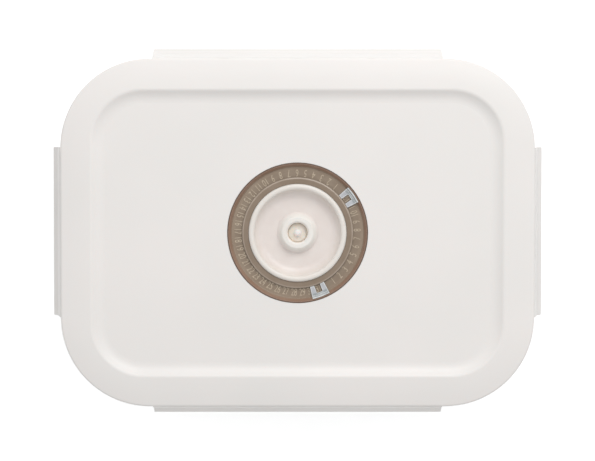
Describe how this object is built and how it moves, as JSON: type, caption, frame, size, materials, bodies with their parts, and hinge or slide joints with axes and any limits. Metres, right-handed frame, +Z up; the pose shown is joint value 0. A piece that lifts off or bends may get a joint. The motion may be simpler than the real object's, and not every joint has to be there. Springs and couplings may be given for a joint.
{
  "type": "vacuum food container",
  "caption": "Rectangular glass food container for vacuum storage: white lid with side locks, a date dial with sliding pointers and a central pump valve.",
  "frame": {"origin": "middle of the base, on the plane that the foot stands on", "axes": "+X along the length, +Y along the width towards the back lock, +Z up"},
  "size_m": [0.21, 0.1566, 0.0692],
  "materials": {
    "glass": "clear pressed glass",
    "lid_plastic": "glossy moulded plastic",
    "lock_plastic": "glossy moulded plastic",
    "gasket_silicone": "soft translucent silicone",
    "dial_plastic": "satin moulded plastic",
    "pointer_plastic": "satin moulded plastic",
    "dish_plastic": "glossy translucent plastic",
    "valve_silicone": "soft silicone",
    "nut_plastic": "satin moulded plastic"
  },
  "bodies": {
    "bowl": {"glass_bowl": "glass"},
    "lid": {"lid_shell": "lid_plastic", "lid_gasket": "gasket_silicone", "date_ring": "dial_plastic", "valve_dish": "dish_plastic", "valve_o_ring": "gasket_silicone", "valve_nut": "nut_plastic"},
    "back_lock_flap": {"back_lock": "lock_plastic"},
    "left_lock_flap": {"left_lock": "lock_plastic"},
    "front_lock_flap": {"front_lock": "lock_plastic"},
    "right_lock_flap": {"right_lock": "lock_plastic"},
    "month_slider": {"month_pointer": "pointer_plastic"},
    "day_slider": {"day_pointer": "pointer_plastic"},
    "valve": {"valve_poppet": "valve_silicone"}
  },
  "joints": [
    {"name": "lid_lift", "type": "slide", "parent": "bowl", "child": "lid", "axis": [0, 0, 1], "range_m": [0, 0.075]},
    {"name": "back_lock_hinge", "type": "hinge", "parent": "lid", "child": "back_lock_flap", "pos_m": [0, 0.0734, 0.064], "axis": [1, 0, 0], "range_deg": [-10, 95]},
    {"name": "left_lock_hinge", "type": "hinge", "parent": "lid", "child": "left_lock_flap", "pos_m": [-0.10015, 0, 0.064], "axis": [0, 1, 0], "range_deg": [-10, 95]},
    {"name": "front_lock_hinge", "type": "hinge", "parent": "lid", "child": "front_lock_flap", "pos_m": [0, -0.0734, 0.064], "axis": [-1, 0, 0], "range_deg": [-10, 95]},
    {"name": "right_lock_hinge", "type": "hinge", "parent": "lid", "child": "right_lock_flap", "pos_m": [0.10015, 0, 0.064], "axis": [0, -1, 0], "range_deg": [-10, 95]},
    {"name": "month_pointer_turn", "type": "hinge", "parent": "lid", "child": "month_slider", "pos_m": [0, 0, 0.0648], "axis": [0, 0, 1], "range_deg": [-88, 0]},
    {"name": "day_pointer_turn", "type": "hinge", "parent": "lid", "child": "day_slider", "pos_m": [0, 0, 0.0648], "axis": [0, 0, 1], "range_deg": [-240, 0]},
    {"name": "valve_lift", "type": "slide", "parent": "lid", "child": "valve", "axis": [0, 0, 1], "range_m": [0, 0.001]}
  ]
}
